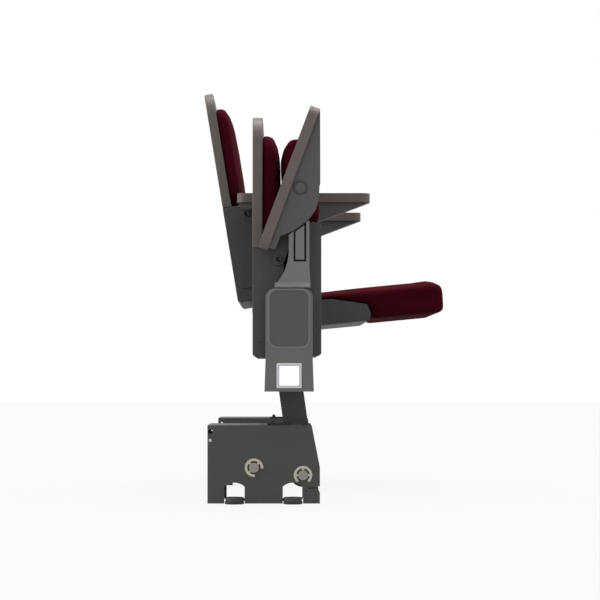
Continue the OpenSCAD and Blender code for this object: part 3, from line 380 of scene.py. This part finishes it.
def socket_bolt(shank_r, shank_l, head_r, head_h, steps=24):
    """A button head bolt with a hexagon recess; the head's underside is at height 0."""
    recess, deep = head_r * 0.52, head_h * 0.62
    edge = head_h * 0.35
    return spun([(0, -shank_l), (shank_r * 0.85, -shank_l), (shank_r, -shank_l + shank_r * 0.15),
                 (shank_r, 0), (head_r, 0), (head_r, head_h - edge),
                 (head_r - edge * 0.4, head_h - edge * 0.3), (head_r - edge, head_h),
                 (recess + 0.0002, head_h), (recess, head_h - 0.0002), (recess, head_h - deep),
                 (0, head_h - deep - recess * 0.2)], steps, six=(9, 10))


zinc_plate = finish("zinc_plate", linear(172, 167, 150), 0.34, 500.0, 0.08, 0.3, 1.0)
shaft_steel = finish("shaft_steel", linear(136, 133, 130), 0.42, 700.0, 0.1, 0.3, 1.0)
bush_bronze = finish("bush_bronze", linear(170, 138, 92), 0.4, 500.0, 0.1, 0.3, 1.0)
bolt_black = finish("bolt_black", linear(58, 57, 56), 0.42, 900.0, 0.1, 0.2, 0.6)
eased("retaining_rings", "shaft_clips", "bases", 0.00025, "zinc", zinc_plate, 1)
for side in ("near", "far"):
    eased("fold_bar_" + side, "fold_shaft_" + side, "bases", 0.0008, "zinc", shaft_steel)
    eased("lock_bar_" + side, "lock_shaft_" + side, "bases", 0.0008, "zinc", shaft_steel)
eased("bushes", "leg_bushes", "row_frame", 0.0006, "bush_bronze", bush_bronze)
dress(shaft_steel, "upright_bolts", "seat_pins")

PAD_R, HOLE_R, PAD_H, FLOOR_T, WASHER_H = 0.0195, 0.0055, 0.006, 0.004, 0.004
FOOT_X, FOOT_Y = 0.059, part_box("deck_pads")[1][1] - PAD_R
foot_rubber = finish("foot_rubber", linear(46, 46, 44), 0.75, 1500.0, 0.3)
washer_coat = finish("washer_coat", linear(60, 60, 58), 0.45, 1100.0, 0.15)
feet = [Matrix.Translation((x, y, 0)) for x in (-FOOT_X, FOOT_X) for y in (-FOOT_Y, FOOT_Y)]
rubber_section = [(HOLE_R, 0.0), (PAD_R - 0.0010, 0.0), (PAD_R, 0.0012), (PAD_R, PAD_H - 0.0012),
                  (PAD_R - 0.0012, PAD_H), (HOLE_R, PAD_H)]
low_z, top_z = PAD_H + FLOOR_T, PAD_H + FLOOR_T + WASHER_H
washer_section = [(HOLE_R + 0.0004, low_z), (PAD_R - 0.0004, low_z), (PAD_R, low_z + 0.0004),
                  (PAD_R, top_z - 0.0016), (PAD_R - 0.0007, top_z - 0.0006), (PAD_R - 0.0022, top_z),
                  (HOLE_R + 0.0008, top_z), (HOLE_R, top_z - 0.0008), (HOLE_R, low_z + 0.0004)]
for name, node, slot, section, material in (
        ("foot_discs", "deck_pads", "foot_rubber", rubber_section, foot_rubber),
        ("foot_washers", "deck_washers", "washer_black", washer_section, washer_coat)):
    form = joined([(spun(section, 48, ring=True), place) for place in feet])
    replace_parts(shown(name, form, "bases", slot, material), node)


# Lock hooks, legs, beam and linkage plates. The hooks are cut plates on a tube; legs and beam are
# square and flat steel tubes, welded; all have a coat darker than the bases.
frame_coat = finish("frame_coat", linear(52, 52, 50), 0.48, 1100.0, 0.15)
link_coat = finish("link_coat", linear(70, 69, 68), 0.45, 1100.0, 0.15)
plate_coat = finish("plate_coat", linear(63, 63, 61), 0.55, 1100.0, 0.15)
# Painted shade: near-black colour on the rounded edges of the link bars, standing in for the shade in the
# gap between the links and the parts behind them.
link_edge_painted_shade = finish("link_edge_painted_shade", linear(34, 34, 33), 0.5, 1100.0, 0.15)
dress(frame_coat, "beam")
eased("hangers", "link_hangers", "row_frame", 0.0005, "frame_paint", frame_coat)
for side in ("near", "far"):
    eased("hook_" + side, "lock_hook_" + side, "lock_" + side, 0.0007, "frame_paint", frame_coat)
    eased("strut_" + side, "leg_" + side, "row_frame", 0.0012, "frame_paint", frame_coat)
    eased("arm_frame_" + side, "seat_frame_" + side, "seat_" + side, 0.0006, "frame_paint", link_coat)
    eased("bars_" + side, "links_" + side, "link_" + side, 0.0012, "frame_paint", link_coat, also=link_edge_painted_shade)
    eased("side_plates_" + side, "back_brackets_" + side, "back_" + side, 0.0005, "frame_paint", plate_coat)


# Standards. Cast necks in satin grey over moulded panels. An end neck's groove round its insert is
# painted shade, a near-black colour on its faces; an end panel has a sunk plate with a rounded border.
neck_coat = finish("neck_coat", linear(106, 106, 105), 0.5, 900.0, 0.12)
# Painted shade: near-black colour for the faces in the groove round an end neck's insert, standing in for
# the shade that falls in it.
groove_painted_shade = finish("groove_painted_shade", linear(22, 22, 22), 0.7, 900.0, 0.12)
panel_plastic = finish("panel_plastic", linear(95, 95, 94), 0.55, 1300.0, 0.25)
plate_plastic = finish("plate_plastic", linear(76, 76, 74), 0.55, 1300.0, 0.25)
insert_plastic = finish("insert_plastic", linear(108, 108, 107), 0.5, 1300.0, 0.2)
border_plastic = finish("border_plastic", linear(104, 104, 103), 0.45, 1300.0, 0.15)
END_Y, NECK_HALF, PANEL_HALF = 0.550, 0.020, 0.025
GROOVE_SIDE, GROOVE_UNDER, GROOVE_OVER = 0.0037, 0.005, 0.02
GROOVE_DEEP, GROOVE_SKIN = 0.007, 0.0001
insert_low, insert_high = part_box("neck_inserts")
for side, out in (("near", -1), ("mid", 0), ("far", 1)):
    groove = None
    if out:
        face = out * (END_Y + NECK_HALF)
        depths = (face - out * GROOVE_DEEP, face - out * GROOVE_SKIN)
        groove = ((insert_low[0] - GROOVE_SIDE, min(depths), insert_low[2] - GROOVE_UNDER),
                  (insert_high[0] + GROOVE_SIDE, max(depths), insert_high[2] + GROOVE_OVER))
    eased("neck_" + side, "upright_" + side, "row_frame", 0.0015, "standard_paint", neck_coat,
          also=groove_painted_shade, where=groove)
    eased("shroud_" + side, "panel_" + side, "row_frame", 0.0016, "panel_plastic", panel_plastic)
eased("neck_strips", "neck_inserts", "row_frame", 0.0008, "panel_plastic", insert_plastic)
eased("sunk_plates", "panel_plates", "row_frame", 0.0004, "plate_plastic", plate_plastic)

BORDER_W, BORDER_H, PLATE_R, RECESS = 0.0040, 0.0007, 0.015, 0.002
plate_low, plate_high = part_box("panel_plates")
plate_x, plate_z = (plate_low[0] + plate_high[0]) / 2, (plate_low[2] + plate_high[2]) / 2
half_x, half_z = (plate_high[0] - plate_low[0]) / 2, (plate_high[2] - plate_low[2]) / 2
border_section = [(PLATE_R + BORDER_W, -0.0002), (PLATE_R + BORDER_W, 0.0),
                  (PLATE_R + BORDER_W * 0.8, BORDER_H * 0.7), (PLATE_R + BORDER_W * 0.5, BORDER_H),
                  (PLATE_R + BORDER_W * 0.15, BORDER_H * 0.4),
                  (PLATE_R, -RECESS * 0.35), (PLATE_R, -RECESS * 0.5)]
for side, out in (("near", -1), ("far", 1)):
    form = spun(border_section, 48, ring=True)
    for v in form.verts:
        v.co.x += math.copysign(half_x - PLATE_R, v.co.x)
        v.co.y += math.copysign(half_z - PLATE_R, v.co.y)
    bmesh.ops.transform(form, matrix=along_row(plate_x, out * (END_Y + PANEL_HALF), plate_z, out),
                        verts=form.verts)
    shown("plate_border_" + side, form, "row_frame", "panel_plastic", border_plastic)


# Row lights. A square metal frame with a chamfered rim and a white lit lens, in the outer face of
# both end panels. The lens has a fine grain and glows.
light_frame = finish("light_frame", linear(196, 197, 203), 0.35, 900.0, 0.05, 0.05, 0.0)
eased("light_rims", "light_frames", "row_frame", 0.0014, "light_metal", light_frame)
light_lens = finish("light_lens", linear(240, 240, 244), 0.3, 2000.0, 0.05, 0.03)
tree = light_lens.node_tree
shader = tree.nodes["Principled BSDF"]
tree.links.new(tree.nodes["Group"].outputs["Color"], shader.inputs["Emission Color"])
shader.inputs["Emission Strength"].default_value = 0.9
eased("light_glass", "light_lenses", "row_frame", 0.0006, "light_lens", light_lens)


# Pivot pins of the links and backs. Dark bolts with a button head and a six-sided recess.
PIN_R, PIN_HEAD_R = 0.005, 0.009
LINK_PIN = (0.070, 0.597)
STANDARDS_Y = (-END_Y, 0.0, END_Y)
HEAD_IN, HEAD_H = 0.0348, 0.0028
parts = []
for y, sides in zip(STANDARDS_Y, ((1,), (-1, 1), (-1,))):
    for out in sides:
        parts.append((socket_bolt(PIN_R, HEAD_IN - NECK_HALF, PIN_HEAD_R, HEAD_H),
                      along_row(LINK_PIN[0], y + out * HEAD_IN, LINK_PIN[1], out)))
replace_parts(shown("hanger_bolts", joined(parts), "row_frame", "zinc", bolt_black), "link_pins")

BACK_HEAD_H, BACK_SHANK = 0.0015, 0.0095
for side in ("near", "far"):
    low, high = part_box("back_bolts_" + side)
    middle = ((low[0] + high[0]) / 2, (low[2] + high[2]) / 2)
    parts = []
    for y, out in ((low[1], -1), (high[1], 1)):
        parts.append((socket_bolt(PIN_R, BACK_SHANK, PIN_HEAD_R, BACK_HEAD_H),
                      along_row(middle[0], y - out * BACK_HEAD_H, middle[1], out)))
    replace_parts(shown("pivot_bolts_" + side, joined(parts), "back_" + side, "zinc", bolt_black),
                "back_bolts_" + side)


# Armrest pins. A steel pin through the housing, with a round plastic cap on both ends.
CAP_R, CAP_H, ARM_PIN_R, CAP_Y = 0.0137, 0.0016, 0.006, 0.0198
ARM_PIVOT = (0.073, 0.626)
housing_plastic = finish("housing_plastic", linear(76, 76, 76), 0.55, 1300.0, 0.25)
# Painted shade: near-black colour on the outer rim and the groove ring of each cap, standing in for the
# shade along the raised cap's edge and in its groove.
cap_groove_painted_shade = finish("cap_groove_painted_shade", linear(40, 40, 40), 0.6, 1300.0, 0.2)
cap_section = [(0, -CAP_Y), (ARM_PIN_R, -CAP_Y), (ARM_PIN_R, 0), (CAP_R, 0), (CAP_R, CAP_H * 0.45),
               (CAP_R - 0.0004, CAP_H * 0.8), (CAP_R - 0.0012, CAP_H), (CAP_R - 0.0022, CAP_H * 0.94),
               (CAP_R - 0.0028, CAP_H * 0.6), (CAP_R - 0.0034, CAP_H * 0.94), (CAP_R * 0.5, CAP_H),
               (0, CAP_H)]
parts = [(spun(cap_section, 48), along_row(ARM_PIVOT[0], y + out * CAP_Y, ARM_PIVOT[1], out))
         for y in STANDARDS_Y for out in (-1, 1)]
form = joined(parts)
# The faces of the outer rim and of the groove ring take the painted shade.
for face in form.faces:
    middle = face.calc_center_median()
    reach = math.hypot(middle.x - ARM_PIVOT[0], middle.z - ARM_PIVOT[1])
    face.material_index = 1 if reach > CAP_R - 0.0011 or CAP_R - 0.0032 < reach < CAP_R - 0.0024 else 0
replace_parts(shown("arm_caps", form, "row_frame", "panel_plastic", housing_plastic, cap_groove_painted_shade), "arm_pins")


# Seat and back covers. Moulded dark trays under the cushions and behind the lower backs, with
# softly rounded edges that catch the light.
cover_plastic = finish("cover_plastic", linear(66, 66, 64), 0.6, 1300.0, 0.3)
for side in ("near", "far"):
    eased("seat_tray_" + side, "seat_cover_" + side, "seat_" + side, 0.002, "cover_plastic",
          cover_plastic, 3)
    eased("back_tray_" + side, "back_cover_" + side, "back_" + side, 0.0015, "cover_plastic",
          cover_plastic, 3)


# Back shells and armrests. Moulded taupe boards with round edges, the armrests on grey housings.
shell_finish = finish("shell_finish", linear(92, 84, 80), 0.5, 700.0, 0.12)
arm_finish = finish("arm_finish", linear(94, 84, 81), 0.5, 700.0, 0.12)
board_edge = finish("board_edge", linear(132, 121, 117), 0.45, 700.0, 0.12)
for side in ("near", "far"):
    eased("shell_" + side, "back_shell_" + side, "back_" + side, 0.006, "shell_taupe", shell_finish, 5)


BOARD_REACH, FRONT_ROUND = 0.139, 0.007


def in_front(point):
    """True at the front end of an armrest's board, lifted or not."""
    return math.hypot(point.x - ARM_PIVOT[0], point.z - ARM_PIVOT[1]) > BOARD_REACH


for side in ("near", "mid", "far"):
    eased("arm_board_" + side, "arm_pad_" + side, "arm_" + side, 0.0026, "shell_taupe", arm_finish, 4,
          also=board_edge, rounder=(FRONT_ROUND, in_front))
    eased("arm_case_" + side, "arm_housing_" + side, "arm_" + side, 0.0015, "panel_plastic", housing_plastic)


# Upholstery. Foam pads under tight burgundy cloth, with boxy sides and a slight crown. Each form
# starts a little inside its CAD solid and is blown up by cloth simulation, held where it rests.
SWELL = 4.0
FRAMES = 20
cloth = bpy.data.materials.new("cloth")
cloth.use_nodes = True
tree = cloth.node_tree
shader = tree.nodes["Principled BSDF"]
place = tree.nodes.new("ShaderNodeAttribute")
place.attribute_name = "cloth_place"
threads = []
split = tree.nodes.new("ShaderNodeSeparateXYZ")
tree.links.new(place.outputs["Vector"], split.inputs[0])
THREAD_STEP = 0.0016
THREAD = math.tau / THREAD_STEP
for axis in ("X", "Y", "Z"):
    threads.append(maths(tree, "SINE", maths(tree, "MULTIPLY", split.outputs[axis], THREAD)))
weave = maths(tree, "ADD", maths(tree, "MULTIPLY", threads[0], threads[1]),
              maths(tree, "MULTIPLY", threads[1], threads[2]))
weave = maths(tree, "ADD", weave, maths(tree, "MULTIPLY", threads[2], threads[0]))
stretched = tree.nodes.new("ShaderNodeVectorMath")
stretched.operation = "MULTIPLY"
stretched.inputs[1].default_value = (1.0, 1.0, 0.06)
tree.links.new(place.outputs["Vector"], stretched.inputs[0])
streaks = noise(tree, stretched.outputs[0], 420.0, 3.0, 0.6)
wear = noise(tree, place.outputs["Vector"], 11.0, 4.0, 0.55)
lint = noise(tree, place.outputs["Vector"], 1500.0, 2.0, 0.5)
amount = maths(tree, "ADD", maths(tree, "MULTIPLY", streaks, 0.45), maths(tree, "MULTIPLY", wear, 0.3))
amount = maths(tree, "ADD", amount, maths(tree, "MULTIPLY", lint, 0.25))
amount = maths(tree, "ADD", amount, maths(tree, "MULTIPLY", weave, 0.05))
ramp = tree.nodes.new("ShaderNodeValToRGB")
ramp.color_ramp.elements[0].position = 0.25
ramp.color_ramp.elements[0].color = linear(44, 4, 12)
ramp.color_ramp.elements[1].position = 0.75
ramp.color_ramp.elements[1].color = linear(70, 9, 22)
tree.links.new(amount, ramp.inputs["Fac"])
tree.links.new(ramp.outputs["Color"], shader.inputs["Base Color"])
rough = maths(tree, "ADD", maths(tree, "MULTIPLY", lint, 0.12), 0.82)
tree.links.new(rough, shader.inputs["Roughness"])
bumped = tree.nodes.new("ShaderNodeBump")
bumped.inputs["Strength"].default_value = 0.35
bumped.inputs["Distance"].default_value = 0.0003
height = maths(tree, "ADD", maths(tree, "MULTIPLY", weave, 0.4), maths(tree, "MULTIPLY", lint, 0.6))
tree.links.new(height, bumped.inputs["Height"])
tree.links.new(bumped.outputs["Normal"], shader.inputs["Normal"])
shader.inputs["Specular IOR Level"].default_value = 0.03
shader.inputs["Sheen Weight"].default_value = 0.08
shader.inputs["Sheen Roughness"].default_value = 0.6
shader.inputs["Sheen Tint"].default_value = linear(150, 40, 60)


def evaluated(piece):
    graph = bpy.context.evaluated_depsgraph_get()
    return bpy.data.meshes.new_from_object(piece.evaluated_get(graph))


CROWN = 0.009


def fuller(form, node, face_way, edge, round_r):
    """Makes a pad boxier: the crown rises near its sides, and a rounded side edge squares up."""
    low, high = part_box(node)
    middle, half_w = (low[1] + high[1]) / 2, (high[1] - low[1]) / 2
    base = low[0] if face_way > 0 else high[0]
    for v in form.verts:
        across = min(1.0, abs(v.co.y - middle) / half_w)
        along = min(v.co.z - low[2], high[2] - v.co.z)
        height = (v.co.x - base) * face_way
        if round_r:
            u = (round_r - (1 - across) * half_w) / round_r
            h = (height - edge + round_r) / round_r
            if 0 < u and 0 < h <= 1.001:
                share = math.hypot(u, h) / (u ** 5 + h ** 5) ** 0.2
                v.co.y += math.copysign(u * (share - 1) * round_r, v.co.y - middle)
                height += h * (share - 1) * round_r
        weight = min(1.0, max(0.0, (height - edge * 0.5) / (edge * 0.5))) * min(1.0, max(0.0, along / 0.05))
        height += CROWN * weight * (across ** 2 - across ** 6)
        if not round_r and height > edge * 0.5:
            front = high[2] - v.co.z
            flat = 1 - min(1.0, front / 0.067)
            height += CROWN * flat * min(1.0, max(0.0, (front - 0.008) / 0.012)) * (1 - across ** 6)
        v.co.x = base + height * face_way


def stuffed(name, node, face_way, inset, cap, cell, edge, round_r):
    """The cloth over one pad. face_way is the direction that the pad's face looks in."""
    form = bmesh.new()
    form.from_mesh(nodes[node].data)
    bmesh.ops.remove_doubles(form, verts=form.verts, dist=2e-5)
    bmesh.ops.subdivide_edges(form, edges=[e for e in form.edges if e.calc_length() > 0.03], cuts=1)
    if edge:
        fuller(form, node, face_way, edge, round_r)
    bmesh.ops.recalc_face_normals(form, faces=form.faces)
    form.normal_update()
    moves = [(v, v.normal * -inset * min(1.0, max(0.0, v.normal.x * face_way + 1.0))) for v in form.verts]
    for v, move in moves:
        v.co += move
    mesh = bpy.data.meshes.new(name)
    form.to_mesh(mesh)
    form.free()
    piece = bpy.data.objects.new(name, mesh)
    scene.collection.objects.link(piece)
    remesh = piece.modifiers.new("remesh", "REMESH")
    remesh.mode = "VOXEL"
    remesh.voxel_size = cell
    even = piece.modifiers.new("even", "SMOOTH")
    even.factor, even.iterations = 0.5, 3
    piece.data = evaluated(piece)
    piece.modifiers.clear()
    rest = [v.co.copy() for v in piece.data.vertices]
    normals = [v.normal.copy() for v in piece.data.vertices]
    held = piece.vertex_groups.new(name="held")
    for v in piece.data.vertices:
        if normals[v.index].x * face_way < -0.35:
            held.add([v.index], 1.0, "REPLACE")
    sim = piece.modifiers.new("sim", "CLOTH")
    sim.settings.quality = 5
    sim.settings.vertex_group_mass = "held"
    sim.settings.use_pressure = True
    sim.settings.uniform_pressure_force = SWELL
    sim.settings.tension_stiffness = 15
    sim.settings.compression_stiffness = 15
    sim.settings.bending_stiffness = 0.5
    sim.settings.effector_weights.gravity = 0.0
    sim.collision_settings.use_collision = False
    sim.collision_settings.use_self_collision = False
    for step in range(1, FRAMES + 1):
        scene.frame_set(step)
    blown = evaluated(piece)
    piece.modifiers.clear()
    for v, home, out in zip(piece.data.vertices, rest, normals):
        v.co = home + out * min(cap, max(0.0, (blown.vertices[v.index].co - home).dot(out)))
    scene.frame_set(1)
    soft = piece.modifiers.new("soft", "SUBSURF")
    soft.levels = soft.render_levels = 1
    piece.data = evaluated(piece)
    piece.modifiers.clear()
    marks = piece.data.attributes.new("cloth_place", "FLOAT_VECTOR", "POINT")
    for v in piece.data.vertices:
        marks.data[v.index].vector = v.co
    piece.data.shade_smooth()
    piece.data.materials.clear()
    piece.data.materials.append(cloth)
    return piece


def between(node_a, node_b):
    """The turn and shift that lay one CAD solid on its twin."""
    def axes(points):
        ahead = (points[1] - points[0]).normalized()
        up = ahead.cross(points[2] - points[0]).normalized()
        return Matrix((ahead, up.cross(ahead), up)).transposed()
    a = [v.co for v in nodes[node_a].data.vertices]
    b = [v.co for v in nodes[node_b].data.vertices]
    far = max(range(len(a)), key=lambda k: (a[k] - a[0]).length)
    wide = max(range(len(a)), key=lambda k: (a[far] - a[0]).cross(a[k] - a[0]).length)
    turn = axes([b[k] for k in (0, far, wide)]) @ axes([a[k] for k in (0, far, wide)]).inverted()
    return Matrix.Translation(b[0] - turn @ a[0]) @ turn.to_4x4()


for name, node, body, face_way, inset, cap, cell, edge, round_r in (
        ("seat_pad", "seat_cushion", "seat", -1, 0.0014, 0.0026, 0.006, 0.050, 0),
        ("back_pad", "back_cushion", "back", 1, 0.0008, 0.0020, 0.005, 0.025, 0.015),
        ("lumbar", "lumbar_pad", "back", 1, 0.0008, 0.0012, 0.004, 0, 0)):
    near = stuffed(name + "_near", node + "_near", face_way, inset, cap, cell, edge, round_r)
    twin = bpy.data.objects.new(name + "_far", near.data.copy())
    scene.collection.objects.link(twin)
    twin.data.transform(between(node + "_near", node + "_far"))
    for piece, side in ((near, "near"), (twin, "far")):
        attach(piece, body + "_" + side)
        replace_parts(piece, node + "_" + side)


low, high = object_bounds()
